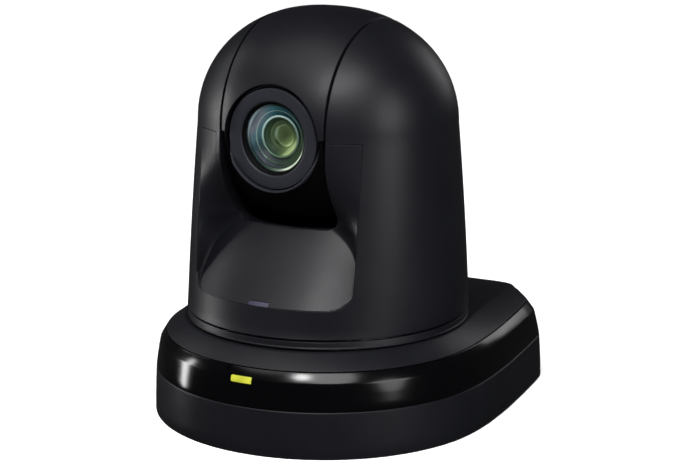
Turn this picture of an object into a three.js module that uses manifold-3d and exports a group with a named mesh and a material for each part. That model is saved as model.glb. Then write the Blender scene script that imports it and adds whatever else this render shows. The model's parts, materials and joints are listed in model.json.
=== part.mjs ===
// Pan-tilt-zoom camera: a desk or ceiling camera with a wide base, a panning
// head and a tilting lens drum.  Millimetres, +Z up, lens towards -Y.
// The origin is on the flat underside of the base, on the pan axis.
import * as THREE from 'three';
import { mergeVertices } from 'three/addons/utils/BufferGeometryUtils.js';
import Module from 'manifold-3d';

const wasm = await Module();
wasm.setup();

// ---------------------------------------------------------------- dimensions
const WIDTH = 160;            // base width, X
const BASE_Y = -1.6;          // centre of the base's front arc
const BACK_Y = 97.4;          // back wall of the base
const Z_SKIRT = 21.3;         // top of the matt skirt
const Z_BAND = 33.4;          // top of the gloss band, foot of the gloss chamfer
const Z_EDGE = 38.1;          // top of the gloss chamfer, edge of the deck
const Z_DECK = 44.4;          // deck at the foot of the collar ring
const Z_REAR = 41.5;          // deck at the back edge
const R_RING = 65.0;          // collar ring
const Z_RING = 48.0;          // top of the collar ring
const Z_RIM = 48.9;           // bottom rim of the head
const R_RIM = 65.3;           // radius of the head at its rim
const Z_TILT = 134.6;         // tilt axis
const Z_LENS = 133.2;         // lens axis, a little below the tilt axis
const R_DOME = 51.8;          // dome radius about the tilt axis, in the middle
const A_DOME = 60.5;          // half-width of the dome at tilt height
const N_DOME = 2.26;          // dome profile exponents
const M_DOME = 2.1;
const WALL = 2.4;             // wall of the head covers
const SLOT_W = 27.2;          // half-width of the slot between the arms
const DRUM_W = 26.0;          // half-width of the tilting drum
const SLOT_Z = 92.5;          // lower edge of the slot opening at the front
const PANEL_X = 41.3;         // half-width of the recessed front panel
const PANEL_Z = 61.5;         // lower edge of the recessed front panel
const APRON = 0.60;           // depth the apron gains for each mm of height
const GAP = 0.35;             // parting gap between neighbouring mouldings
const LENS_Y = -47.3;         // face of the lens bezel
const R_BEZEL = 22.2;         // outer radius of the lens bezel
const R_COLLAR = 23.7;        // outer radius of the collar round the bezel
const COLLAR_Y = -48.7;       // front edge of that collar
const Z_BELT = 30.5;          // underside of the pan belt plane
const X_BELT = 34.4;          // inner side of the tilt belt plane
const PAN_MOTOR = [-47, 20];  // pan motor axis
const TILT_MOTOR_Z = 67.5;    // tilt motor axis height

// ------------------------------------------------------------------ helpers
const group = new THREE.Group();
const MATERIALS = {
  shell: [0x2b2c31, 0.62, 0.0], dark: [0x141518, 0.5, 0.0],
  gloss: [0x0c0c0e, 0.08, 0.0], bezel: [0x303137, 0.45, 0.1],
  steel: [0xb4b6b9, 0.35, 1.0], aluminium: [0x8d9094, 0.4, 1.0],
  board: [0x1f5a36, 0.6, 0.0], rubber: [0x161616, 0.9, 0.0],
  glass: [0x274a44, 0.03, 0.0], brass: [0xb9a15a, 0.35, 1.0],
  led: [0xb5d84a, 0.3, 0.0], lamp: [0x4a4560, 0.2, 0.0],
};

function solid(geometry) {
  const g = geometry.index ? geometry.clone() : geometry.clone();
  for (const name of Object.keys(g.attributes)) if (name !== 'position') g.deleteAttribute(name);
  const m = mergeVertices(g, 1e-4);
  const p = m.attributes.position.array;
  let idx = Array.from(m.index.array);
  const keep = [];
  for (let i = 0; i < idx.length; i += 3) {
    const [a, b, c] = [idx[i], idx[i + 1], idx[i + 2]];
    if (a !== b && b !== c && a !== c) keep.push(a, b, c);
  }
  idx = keep;
  let v = 0;
  for (let i = 0; i < idx.length; i += 3) {
    const [a, b, c] = [idx[i] * 3, idx[i + 1] * 3, idx[i + 2] * 3];
    v += p[a] * (p[b + 1] * p[c + 2] - p[b + 2] * p[c + 1])
      - p[a + 1] * (p[b] * p[c + 2] - p[b + 2] * p[c])
      + p[a + 2] * (p[b] * p[c + 1] - p[b + 1] * p[c]);
  }
  if (v < 0) for (let i = 0; i < idx.length; i += 3) [idx[i + 1], idx[i + 2]] = [idx[i + 2], idx[i + 1]];
  return new wasm.Manifold(new wasm.Mesh({
    numProp: 3, vertProperties: new Float32Array(p), triVerts: new Uint32Array(idx),
  }));
}

function add(name, body, look) {
  const mesh = body.getMesh();
  const n = mesh.numProp;
  const count = mesh.vertProperties.length / n;
  const pos = new Float32Array(count * 3);
  for (let i = 0; i < count; i++) for (let k = 0; k < 3; k++) pos[i * 3 + k] = mesh.vertProperties[i * n + k];
  let g = new THREE.BufferGeometry();
  g.setAttribute('position', new THREE.BufferAttribute(pos, 3));
  g.setIndex(new THREE.BufferAttribute(new Uint32Array(mesh.triVerts), 1));
  g.computeVertexNormals();
  const [color, roughness, metalness] = MATERIALS[look];
  const m = new THREE.Mesh(g, new THREE.MeshStandardMaterial({ color, roughness, metalness }));
  m.name = name;
  group.add(m);
}

const turnTo = { z: g => g.rotateX(Math.PI / 2), y: g => g, x: g => g.rotateZ(-Math.PI / 2) };

// revolve a profile of [radius, height] pairs about an axis
function lathe(profile, axis = 'z', segments = 32, at = [0, 0, 0]) {
  const pts = profile.map(([r, h]) => new THREE.Vector2(r, h));
  const closed = profile[0][0] > 1e-6 || profile[profile.length - 1][0] > 1e-6;
  if (closed) pts.push(pts[0].clone());
  const g = new THREE.LatheGeometry(pts, segments);
  if (axis === 'z') g.rotateX(Math.PI / 2);
  if (axis === 'x') g.rotateZ(-Math.PI / 2);
  g.translate(...at);
  return solid(g);
}
const rod = (r, h0, h1, axis = 'z', at = [0, 0, 0], segments = 20) =>
  lathe([[0, h0], [r, h0], [r, h1], [0, h1]], axis, segments, at);
const tube = (ri, ro, h0, h1, axis = 'z', at = [0, 0, 0], segments = 24) =>
  lathe([[ri, h0], [ro, h0], [ro, h1], [ri, h1]], axis, segments, at);
const box = (x0, x1, y0, y1, z0, z1) => {
  const g = new THREE.BoxGeometry(x1 - x0, y1 - y0, z1 - z0);
  g.translate((x0 + x1) / 2, (y0 + y1) / 2, (z0 + z1) / 2);
  return solid(g);
};
// extrude an outline of [u, v] pairs: along z (u=x, v=y), y (u=x, v=z) or x (u=y, v=z)
function prism(outline, lo, hi, axis = 'z') {
  const shape = new THREE.Shape(outline.map(([u, v]) => new THREE.Vector2(u, v)));
  const g = new THREE.ExtrudeGeometry(shape, { depth: hi - lo, bevelEnabled: false, steps: 1 });
  g.translate(0, 0, lo);
  const p = g.attributes.position;
  if (axis !== 'z') {
    for (let i = 0; i < p.count; i++) {
      const u = p.getX(i), v = p.getY(i), w = p.getZ(i);
      if (axis === 'y') p.setXYZ(i, u, w, v); else p.setXYZ(i, w, u, v);
    }
  }
  return solid(g);
}
function roundRect(u0, u1, v0, v1, r, n = 4) {
  const out = [];
  const corner = (cx, cy, a0) => {
    for (let i = 0; i <= n; i++) {
      const a = a0 + (Math.PI / 2) * (i / n);
      out.push([cx + r * Math.cos(a), cy + r * Math.sin(a)]);
    }
  };
  corner(u1 - r, v0 + r, -Math.PI / 2);
  corner(u1 - r, v1 - r, 0);
  corner(u0 + r, v1 - r, Math.PI / 2);
  corner(u0 + r, v0 + r, Math.PI);
  return out;
}
const circle = (r, cx, cy, n = 24) =>
  Array.from({ length: n }, (_, i) => [cx + r * Math.cos(2 * Math.PI * i / n), cy + r * Math.sin(2 * Math.PI * i / n)]);

// a stack of rings with the same number of points; loop joins last to first,
// otherwise both ends are closed on their middle point
function loft(rings, loop = false) {
  const n = rings[0].length;
  const pos = rings.flat(2);
  const idx = [];
  const quad = (a, b) => {
    for (let i = 0; i < n; i++) {
      const j = (i + 1) % n;
      idx.push(a * n + i, a * n + j, b * n + j, a * n + i, b * n + j, b * n + i);
    }
  };
  for (let r = 0; r + 1 < rings.length; r++) quad(r, r + 1);
  if (loop) quad(rings.length - 1, 0);
  else {
    for (const [r, flip] of [[0, true], [rings.length - 1, false]]) {
      const c = [0, 0, 0];
      for (const q of rings[r]) for (let k = 0; k < 3; k++) c[k] += q[k] / n;
      const k = pos.length / 3;
      pos.push(...c);
      for (let i = 0; i < n; i++) {
        const j = (i + 1) % n;
        if (flip) idx.push(k, r * n + j, r * n + i); else idx.push(k, r * n + i, r * n + j);
      }
    }
  }
  const g = new THREE.BufferGeometry();
  g.setAttribute('position', new THREE.BufferAttribute(new Float32Array(pos), 3));
  g.setIndex(idx);
  return solid(g);
}
function minus(body, ...cuts) { for (const c of cuts) body = body.subtract(c); return body; }
function plus(body, ...more) { for (const c of more) body = body.add(c); return body; }

// ------------------------------------------------------------- head surface
const clamp = (v, lo, hi) => Math.min(hi, Math.max(lo, v));
const rho = (x, off = 0) => (R_DOME - off) * Math.max(0, 1 - (Math.abs(x) / (A_DOME - off)) ** N_DOME) ** (1 / M_DOME);
function section(z, off = 0) {
  const t = clamp((z - Z_RIM) / (Z_TILT - Z_RIM), 0, 1);
  return {
    a: R_RIM - off + (A_DOME - R_RIM) * t ** 1.5,
    b: R_RIM - off + (R_DOME - R_RIM) * t ** 0.85,
    n: 2 + (N_DOME - 2) * t, m: 2 + (M_DOME - 2) * t,
  };
}
function sectionPoint(z, angle, off) {
  const { a, b, n, m } = section(z, off);
  const c = Math.cos(angle), s = Math.sin(angle);
  const x = a * Math.sign(c) * Math.abs(c) ** (2 / n);
  const y = b * Math.sign(s) * Math.max(0, 1 - Math.abs(x / a) ** n) ** (1 / m);
  return [x, y];
}
// front face of the undisturbed head at (x, z), as a positive distance from the pan axis
function headFront(x, z, off = 0) {
  if (z <= Z_TILT) {
    const { a, b, n, m } = section(z, off);
    return b * Math.max(0, 1 - Math.abs(x / a) ** n) ** (1 / m);
  }
  const r = rho(x, off);
  return Math.sqrt(Math.max(0, r * r - (z - Z_TILT) ** 2));
}
function headBody(off, zLow, segments, low, high) {
  const angles = Array.from({ length: segments }, (_, i) => 2 * Math.PI * (i + 0.5) / segments);
  const rings = [];
  for (let i = 0; i <= low; i++) {
    const z = zLow + (Z_TILT - zLow) * (i / low);
    rings.push(angles.map(a => [...sectionPoint(z, a, off), z]));
  }
  for (let i = 1; i < high; i++) {
    const e = (Math.PI / 2) * (i / high);
    rings.push(angles.map(a => {
      const [x0, y0] = sectionPoint(Z_TILT, a, off);
      const d = [x0 * Math.cos(e), y0 * Math.cos(e), (R_DOME - off) * Math.sin(e)];
      const f = s => (s * Math.abs(d[0]) / (A_DOME - off)) ** N_DOME + (s * Math.hypot(d[1], d[2]) / (R_DOME - off)) ** M_DOME - 1;
      let lo = 0.3, hi = 2;
      for (let k = 0; k < 40; k++) { const mid = (lo + hi) / 2; if (f(mid) > 0) hi = mid; else lo = mid; }
      return [d[0] * lo, d[1] * lo, Z_TILT + d[2] * lo];
    }));
  }
  const n = segments;
  // close the top on the apex of the dome
  const body = loft(rings.concat([angles.map(a => [0.01 * Math.cos(a), 0.01 * Math.sin(a), Z_TILT + R_DOME - off])]));
  return body;
}
// how deep the front recess lies below the head surface
function recessDepth(x, z) {
  const apron = APRON * (z - PANEL_Z);
  const below = Math.max(0, Z_TILT - z) / 39;
  const slope = z > 95.5 ? 1.3 * below ** 2.2 : 1.3 * Math.exp((95.5 - z) / 12);
  const cheek = Math.min(40, slope * (PANEL_X - Math.abs(x)));
  const k = 7;
  const h = clamp(0.5 + 0.5 * (cheek - apron) / k, 0, 1);
  const depth = cheek * (1 - h) + apron * h - k * h * (1 - h);
  // the lower corners are rounded
  const qx = Math.abs(x) - (PANEL_X - 9), qz = PANEL_Z + 9 - z;
  return qx > 0 && qz > 0 ? Math.min(depth, 6 * (9 - Math.hypot(qx, qz))) : depth;
}
function recessCutter(off) {
  const xs = [-46, -41.3, -38.5, -35.5, -32, -28.5, -24, -16, -6, 6, 16, 24, 28.5, 32, 35.5, 38.5, 41.3, 46];
  const zs = [58, 61.5, 64, 67.5, 72, 77, 82, 87, 92, 98, 105, 114, 124, 134.4, 140];
  const nx = xs.length, nz = zs.length;
  const pos = [], idx = [];
  for (const layer of [0, 1]) for (const z of zs) for (const x of xs) {
    const d = z > 134.5 ? -2 : Math.max(-1.5, recessDepth(x, z));
    // the inner copy is moved in by the wall, measured square to the sloping apron
    pos.push(x, layer ? -headFront(x, z) + d + off * 1.25 : -95, z);
  }
  const at = (l, j, i) => l * nx * nz + j * nx + i;
  for (let j = 0; j + 1 < nz; j++) for (let i = 0; i + 1 < nx; i++) {
    idx.push(at(0, j, i), at(0, j, i + 1), at(0, j + 1, i + 1), at(0, j, i), at(0, j + 1, i + 1), at(0, j + 1, i));
    idx.push(at(1, j, i), at(1, j + 1, i + 1), at(1, j, i + 1), at(1, j, i), at(1, j + 1, i), at(1, j + 1, i + 1));
  }
  const wall = (l0, j0, i0, j1, i1) => idx.push(at(0, j0, i0), at(1, j1, i1), at(0, j1, i1), at(0, j0, i0), at(1, j0, i0), at(1, j1, i1));
  for (let i = 0; i + 1 < nx; i++) { wall(0, 0, i, 0, i + 1); wall(0, nz - 1, i + 1, nz - 1, i); }
  for (let j = 0; j + 1 < nz; j++) { wall(0, j + 1, 0, j, 0); wall(0, j, nx - 1, j + 1, nx - 1); }
  const g = new THREE.BufferGeometry();
  g.setAttribute('position', new THREE.BufferAttribute(new Float32Array(pos), 3));
  g.setIndex(idx);
  return solid(g);
}
// room the drum and its lens collar sweep about the tilt axis
function drumRoom(extra, half) {
  const reach = Math.hypot(COLLAR_Y, R_COLLAR + Z_TILT - Z_LENS);
  const pts = [[0, -half]];
  for (let i = 0; i <= 6; i++) {
    const x = -half + 2 * half * i / 6;
    const sweep = Math.sqrt(Math.max(0, reach * reach - x * x));
    pts.push([Math.max(rho(Math.min(Math.abs(x), SLOT_W)) + 1.1, sweep + 1.0) + extra, x]);
  }
  pts.push([0, half]);
  return lathe(pts, 'x', 32, [0, 0, Z_TILT]);
}

// ------------------------------------------------------------ base outlines
// half outlines from the front (x=0) to the back (x=0): underside, edge of the
// deck, and edge of the raised part of the deck
const HALF_LOW = [[0, -80], [20.7, -77.3], [40, -69.3], [56.6, -56.6], [69.3, -40], [77.3, -20.7], [79.7, -5], [80, 9.6],
  [79.2, 21.9], [78, 35.3], [75.9, 51.1], [73.4, 68.1], [71.2, 81], [69.3, 88.5], [65.5, 94], [59, 97.7], [50, 99], [25, 99], [0, 99]];
const HALF_TOP = [[0, -74.4], [19.3, -71.9], [37.2, -64.4], [52.6, -52.6], [64.4, -37.2], [71.9, -19.3], [74.1, -4.5], [74.3, 9.6],
  [73.4, 21.5], [72, 34.5], [69.7, 50], [67, 66], [64.9, 77], [62.4, 85.5], [57.5, 90.6], [52, 95.2], [46.3, 99], [24, 99], [0, 99]];
const HALF_RAISED = [[0, -65.6], [17, -63.4], [32.8, -56.8], [46.4, -46.4], [56.8, -32.8], [63.4, -17], [65.4, -4], [64.9, 9.6],
  [62.5, 21.5], [59.5, 34.5], [56.5, 50], [53.8, 66], [52, 77], [50.2, 85.5], [48.5, 90.6], [47.2, 95.2], [45.4, 98.2], [24, 98.2], [0, 98.2]];
function spread(half) {
  // finer points along the front arc, kept in step between outlines
  const out = [];
  for (let i = 0; i + 1 < half.length; i++) {
    out.push(half[i]);
    if (i < 6) {
      const [x0, y0] = half[i], [x1, y1] = half[i + 1];
      const r = (Math.hypot(x0, y0) + Math.hypot(x1, y1)) / 2;
      const mx = (x0 + x1) / 2, my = (y0 + y1) / 2, l = Math.hypot(mx, my);
      out.push([mx * r / l, my * r / l]);
    }
  }
  out.push(half[half.length - 1]);
  const full = out.map(([x, y]) => [x, y + BASE_Y]);
  for (let i = out.length - 2; i > 0; i--) full.push([-out[i][0], out[i][1] + BASE_Y]);
  return full;
}
const LOW = spread(HALF_LOW), TOP = spread(HALF_TOP), RAISED = spread(HALF_RAISED);
// k = 0 is the underside's outline, k = 1 is the deck's edge
const mix = (A, B, k, z) => A.map(([x, y], i) => {
  const px = x + (B[i][0] - x) * k, py = y + (B[i][1] - y) * k;
  return [px, py, typeof z === 'function' ? z(px, py) : z];
});
// the same outline moved in by d
function inset(ring, d, z) {
  const n = ring.length;
  return ring.map(([x, y], i) => {
    const [ax, ay] = ring[(i + n - 1) % n], [bx, by] = ring[(i + 1) % n];
    let nx = -(by - ay), ny = bx - ax;
    const l = Math.hypot(nx, ny);
    nx /= l; ny /= l;
    return [x + nx * d, y + ny * d, typeof z === 'function' ? z(x, y) : z];
  });
}
const zEdge = (x, y) => Z_EDGE + (Z_REAR - 0.3 - Z_EDGE) * clamp((y - 82) / (BACK_Y - 82), 0, 1);
const zRaised = (x, y) => Z_DECK - (Z_DECK - Z_REAR) * clamp((y - 20) / (BACK_Y - 20), 0, 1);

// --------------------------------------------------------------------- base
const backCut = box(-46, 46, 88, 110, 5.5, 37.5);
{
  const e = mix(LOW, TOP, 0.13, Z_SKIRT - 0.15);
  const rings = [
    inset(LOW, 3.0, 0), inset(LOW, 0.5, 0), mix(LOW, TOP, 0, 0.7), e,
    inset(e, 2.3, Z_SKIRT - 0.15), inset(LOW, 2.6, 3),
  ];
  let housing = loft(rings, true);
  housing = minus(housing, backCut);
  add('lower_housing', housing, 'shell');
}
{
  const a = mix(LOW, TOP, 0.14, Z_SKIRT + 0.15), b = mix(LOW, TOP, 0.5, Z_BAND), c = mix(LOW, TOP, 1, (x, y) => zEdge(x, y) - 0.25);
  const rings = [a, mix(LOW, TOP, 0.32, 28), b, c, inset(c, 1.6, (x, y) => zEdge(x, y) - 1.6), inset(b, 2.4, Z_BAND - 3), inset(a, 2.4, Z_SKIRT + 0.15)];
  let trim = minus(loft(rings, true), backCut);
  // window for the status lamp on the upper edge, in the middle of the front
  const lamp = box(-2.5, 8.3, -90, -60, 31.0, 34.6);
  trim = minus(trim, lamp, rod(0.95, 30, 40, 'z', [-4.6, -76.5, 0], 10));
  add('gloss_trim', trim, 'gloss');
}
{
  const top = mix(TOP, RAISED, 0.012, zEdge);
  const raised = mix(RAISED, RAISED, 0, zRaised);
  const hole = r => RAISED.map(([x, y]) => { const l = Math.hypot(x, y); return [x * r / l, y * r / l]; });
  const ring = (r, z) => hole(r).map(([x, y]) => [x, y, typeof z === 'function' ? z(x, y) : z]);
  const rings = [
    top, raised, ring(58, 42.6), ring(34, 42.6), ring(34, 40.3), inset(RAISED, 1.5, (x, y) => zRaised(x, y) - 2.4), inset(top, 2.2, (x, y) => zEdge(x, y) - 1.0), inset(top, 0.4, (x, y) => zEdge(x, y) - 0.2),
  ];
  add('top_deck', loft(rings, true), 'shell');
}
add('collar_ring', lathe([[61.6, Z_DECK + 0.2], [65.2, Z_DECK + 0.2], [64.7, Z_RING], [61.6, Z_RING]], 'z', 52), 'shell');
{
  const ring = inset(LOW, 3.5, 0).map(([x, y]) => [x, Math.min(y, 93.2), 0]);
  let plate = loft([ring.map(([x, y]) => [x, y, 0]), ring.map(([x, y]) => [x, y, 2.0])]);
  // tripod bush hole, four bracket holes and the cable cut-out, all clear of the middle
  const cuts = [rod(3.3, -1, 4, 'z', [0, 38, 0], 20)];
  for (const [x, y] of [[-35, -40], [35, -40], [-35, 55], [35, 55]]) cuts.push(rod(2.2, -1, 4, 'z', [x, y, 0], 10));
  cuts.push(prism(roundRect(-16, 16, 66, 80, 4), -1, 4));
  for (const [x, y] of [[-55, -35], [55, -35], [-58, 60], [58, 60]]) cuts.push(rod(2.9, -1, 4, 'z', [x, y, 0], 10));
  plate = minus(plate, ...cuts);
  add('bottom_plate', plate, 'aluminium');
}
for (const [i, [x, y]] of [[-55, -35], [55, -35], [-58, 60], [58, 60]].entries()) {
  add(`base_screw_${i + 1}`, lathe([[0, 1.1], [1.2, 0.3], [2.5, 0.3], [2.5, 1.9], [1.4, 1.9], [1.4, 9], [0, 9]], 'z', 9, [x, y, 0]), 'steel');
}
{
  let bush = plus(lathe([[3.6, 2.3], [7.4, 2.3], [7.4, 4.3], [5.8, 4.3], [5.8, 9.3], [3.6, 9.3]], 'z', 16, [0, 38, 0]));
  add('tripod_bush', bush, 'steel');
}
// rear connector panel, set back from the wall
{
  let panel = prism(roundRect(-45.6, 45.6, 5.9, 37.1, 2), 93.6, 95.6, 'y');
  panel = minus(panel,
    box(-41.2, -24.2, 90, 99, 8.8, 23.2), box(-20.8, -3.8, 90, 99, 8.8, 23.2),
    box(0.2, 16.4, 90, 99, 9.8, 16.6), box(0.2, 9.6, 90, 99, 21.4, 25.6),
    rod(6.2, 90, 99, 'y', [26.5, 0, 15.5], 16), rod(3.8, 90, 99, 'y', [-32.8, 0, 30.5], 12), rod(5.0, 90, 99, 'y', [39, 0, 28], 14));
  for (let i = 0; i < 5; i++) panel = minus(panel, box(-18 + i * 3, -16.4 + i * 3, 90, 99, 27.5, 34));
  panel = minus(panel, rod(2.0, 90, 99, 'y', [-43, 0, 34.2], 9), rod(2.0, 90, 99, 'y', [43, 0, 8.6], 9));
  add('rear_panel', panel, 'dark');
  for (const [i, [x, z]] of [[-43, 34.2], [43, 8.6]].entries())
    add(`panel_screw_${i + 1}`, lathe([[0, 87], [1.2, 87], [1.2, 95.0], [1.6, 95.0], [1.6, 96.4], [0.9, 96.4], [0, 95.7]], 'y', 9, [x, 0, z]), 'steel');
}
add('main_board', minus(prism(roundRect(-54, 54, 46, 86, 2), 5.2, 6.8), rod(11, 4, 8, 'z', [0, 38, 0], 20)), 'board');
const jack = (x0, x1, z0, z1, y0, y1, wx0, wx1, wz0, wz1, depth) => minus(box(x0, x1, y0, y1, z0, z1), box(wx0, wx1, y1 - depth, y1 + 1, wz0, wz1));
add('lan_jack', plus(jack(-40.9, -24.5, 9.1, 22.9, 76, 95.6, -38.6, -26.8, 10.6, 18.6, 12), box(-39, -26.4, 76.2, 86, 7.1, 9.2)), 'steel');
add('control_jack', plus(jack(-20.5, -4.1, 9.1, 22.9, 76, 95.6, -18.2, -6.4, 10.6, 18.6, 12), box(-18.6, -6.0, 76.2, 86, 7.1, 9.2)), 'dark');
add('hdmi_socket', plus(jack(0.6, 16.0, 10.2, 16.2, 82, 95.8, 1.4, 15.2, 11.0, 15.4, 9), box(2, 14.6, 82.2, 90, 7.1, 10.3)), 'steel');
add('usb_socket', jack(0.6, 9.2, 21.8, 25.2, 87, 95.8, 1.2, 8.6, 22.3, 24.7, 7), 'steel');
add('sdi_connector', plus(lathe([[2.6, 97.2], [2.6, 92.2], [0, 92.2], [0, 84], [5.8, 84], [5.8, 96.2], [4.8, 96.4], [4.8, 97.2]], 'y', 20, [26.5, 0, 15.5]), box(22, 31, 84, 92, 7.1, 15)), 'steel');
add('audio_jack', lathe([[1.8, 96.6], [1.8, 88], [0, 88], [0, 84], [3.4, 84], [3.4, 96.6]], 'y', 16, [-32.8, 0, 30.5]), 'dark');
add('dc_inlet', minus(rod(4.6, 84, 96.2, 'y', [39, 0, 28], 24), tube(1.1, 3.3, 87, 98, 'y', [39, 0, 28], 20)), 'dark');
// status lamp: a light bar across the upper edge of the gloss trim, and a small light sensor beside it
{
  const outer = loft([mix(LOW, TOP, 0.44, 31.4), mix(LOW, TOP, 0.49, Z_BAND - 0.1), mix(LOW, TOP, 0.59, 34.3)]
    .concat([inset(mix(LOW, TOP, 0.59, 34.3), 2.2, 34.3), inset(mix(LOW, TOP, 0.44, 31.4), 2.2, 31.4)]), true);
  add('light_sensor', rod(0.6, 33.6, 35.2, 'z', [-4.6, -76.5, 0], 10), 'dark');
  add('status_lamp', outer.intersect(box(-2.2, 8.0, -90, -60, 31.3, 34.3)), 'led');
}

// ------------------------------------------------------------- pan drive
add('pan_bearing_housing', lathe([[13, 2.3], [30, 2.3], [30, 5], [20, 6.5], [20, 28.5], [13, 28.5]], 'z', 24), 'aluminium');
add('pan_bearing_lower', tube(9.4, 12.7, 6, 11, 'z', [0, 0, 0], 16), 'steel');
add('pan_bearing_upper', tube(9.4, 12.7, 23, 28, 'z', [0, 0, 0], 16), 'steel');
{
  // stepping motor: square body with a front plate
  const [mx, my] = PAN_MOTOR;
  let m = prism(roundRect(mx - 12.5, mx + 12.5, my - 12.5, my + 12.5, 3), 5, 26.5);
  m = plus(m, prism(roundRect(mx - 14, mx + 14, my - 14, my + 14, 3), 26.3, 28.8), rod(1.9, 28, 37.8, 'z', [mx, my, 0], 16));
  m = minus(m, box(mx - 5, mx + 5, my + 11.5, my + 14.5, 6, 12));
  add('pan_motor', m, 'steel');
}
const beltLoop = (r0, c0, r1, c1, n = 14) => {
  // outline round two circles: outer tangents and arcs
  const dx = c1[0] - c0[0], dy = c1[1] - c0[1], d = Math.hypot(dx, dy), base = Math.atan2(dy, dx), b = Math.acos((r0 - r1) / d);
  const out = [];
  for (let i = 0; i <= n; i++) { const a = base + b + (2 * Math.PI - 2 * b) * i / n; out.push([c0[0] + r0 * Math.cos(a), c0[1] + r0 * Math.sin(a)]); }
  for (let i = 0; i <= n; i++) { const a = base - b + 2 * b * i / n; out.push([c1[0] + r1 * Math.cos(a), c1[1] + r1 * Math.sin(a)]); }
  return out;
};
add('pan_belt', minus(prism(beltLoop(29.1, [0, 0], 7.1, PAN_MOTOR, 14), Z_BELT + 0.8, Z_BELT + 6.2), prism(beltLoop(27.6, [0, 0], 5.6, PAN_MOTOR, 14), Z_BELT, Z_BELT + 7)), 'rubber');
add('pan_motor_pulley', lathe([[2.2, Z_BELT], [6.5, Z_BELT], [5.1, Z_BELT + 0.5], [5.1, Z_BELT + 6.5], [6.5, Z_BELT + 7], [2.2, Z_BELT + 7]], 'z', 14, [...PAN_MOTOR, 0]), 'brass');
add('pan_pulley', lathe([[9.4, Z_BELT - 1.2], [14, Z_BELT], [28.4, Z_BELT], [27.1, Z_BELT + 0.5], [27.1, Z_BELT + 6.5], [28.4, Z_BELT + 7], [9.4, Z_BELT + 7]], 'z', 28), 'aluminium');

// ------------------------------------------------------------------- head
add('pan_shaft', lathe([[5.5, 5.5], [9.1, 5.5], [9.1, 40.2], [30, 40.2], [30, 44.6], [5.5, 44.6]], 'z', 24), 'steel');
{
  let disc = lathe([[9, 44.9], [60.8, 44.9], [60.8, 50.4], [9, 50.4]], 'z', 32);
  add('turntable', disc, 'aluminium');
}
const outerHead = headBody(0, Z_RIM, 44, 5, 6).subtract(recessCutter(0));
const innerHead = headBody(WALL, Z_RIM - 2, 24, 2, 3).subtract(recessCutter(WALL));
const room = drumRoom(0, SLOT_W);
const tub = drumRoom(2.0, SLOT_W + 2);
// the wall between the arms: tub under the drum and the arms' inner walls
let inside = innerHead.subtract(tub).subtract(box(-SLOT_W - 2, SLOT_W + 2, -80, 80, Z_TILT - 20, 200));
let covers = outerHead.subtract(inside).subtract(room);
// slot from the front opening over the top to the back
covers = covers.subtract(prism(roundRect(-SLOT_W, SLOT_W, SLOT_Z, 230, 7), -90, -20, 'y'));
covers = covers.subtract(box(-SLOT_W, SLOT_W, -60, 49, Z_TILT + 2, 200));
// trunnion holes
covers = covers.subtract(rod(11.5, -SLOT_W - 3, SLOT_W + 3, 'x', [0, 0, Z_TILT], 16));
// parting of the front panel
const outline = (grow) => {
  const x = PANEL_X + grow, z0 = PANEL_Z - grow, zt = Z_TILT - 1.0 + grow * 2, r = 9 + grow, out = [];
  out.push([x, zt], [-x, zt]);
  for (let i = 0; i <= 6; i++) { const a = Math.PI + Math.PI / 2 * i / 6; out.push([-x + r + r * Math.cos(a), z0 + r + r * Math.sin(a)]); }
  for (let i = 0; i <= 6; i++) { const a = -Math.PI / 2 + Math.PI / 2 * i / 6; out.push([x - r + r * Math.cos(a), z0 + r + r * Math.sin(a)]); }
  return out;
};
const panelIn = prism(outline(-GAP / 2), -90, -12, 'y'), panelOut = prism(outline(GAP / 2), -90, -12, 'y');
const keepFront = minus(panelIn, drumRoom(2.4, SLOT_W + 2.4));
// the sensor window sits in a notch at the panel's lower edge
const windowCut = box(-4.0, 6.8, -70, -52, PANEL_Z - 2, PANEL_Z + 2.1);
let panel = covers.intersect(keepFront);
// the panel leaves the arms' walls to the main cover
panel = minus(panel, box(-90, 90, -34, 0, 50, 200));
const pieces = panel.decompose().sort((a, b) => b.volume() - a.volume());
panel = pieces[0];
const panelSeat = minus(panelOut, drumRoom(2.0, SLOT_W + 2), box(-90, 90, -34 + GAP, 0, 50, 200));
covers = covers.subtract(panelSeat);
panel = minus(panel, windowCut);
add('front_panel', panel.decompose().sort((a, b) => b.volume() - a.volume())[0], 'shell');
add('sensor_window', outerHead.subtract(innerHead).intersect(box(-3.7, 6.5, -69, -53, PANEL_Z + 0.2, PANEL_Z + 1.8)), 'lamp');
const SPLIT_Y = 38;
let rear = covers.intersect(box(-90, 90, SPLIT_Y + GAP / 2, 90, 40, 200));
let main = covers.subtract(box(-90, 90, SPLIT_Y - GAP / 2, 90, 40, 200));
const largest = b => b.decompose().sort((p, q) => q.volume() - p.volume())[0];
rear = largest(rear);
for (const x of [-20, 20]) rear = minus(rear, rod(2.0, 40, 90, 'y', [x, 0, 56.5], 12));
add('head_cover', largest(main), 'shell');
add('rear_cover', rear, 'shell');
for (const [i, x] of [-20, 20].entries()) {
  const y = headFront(x, 56.5);
  add(`cover_screw_${i + 1}`, lathe([[0, y - 8], [1.1, y - 8], [1.1, y - 1.6], [1.7, y - 1.6], [1.7, y - 0.5], [0.9, y - 0.5], [0, y - 1.2]], 'y', 9, [x, 0, 56.5]), 'steel');
}
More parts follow.
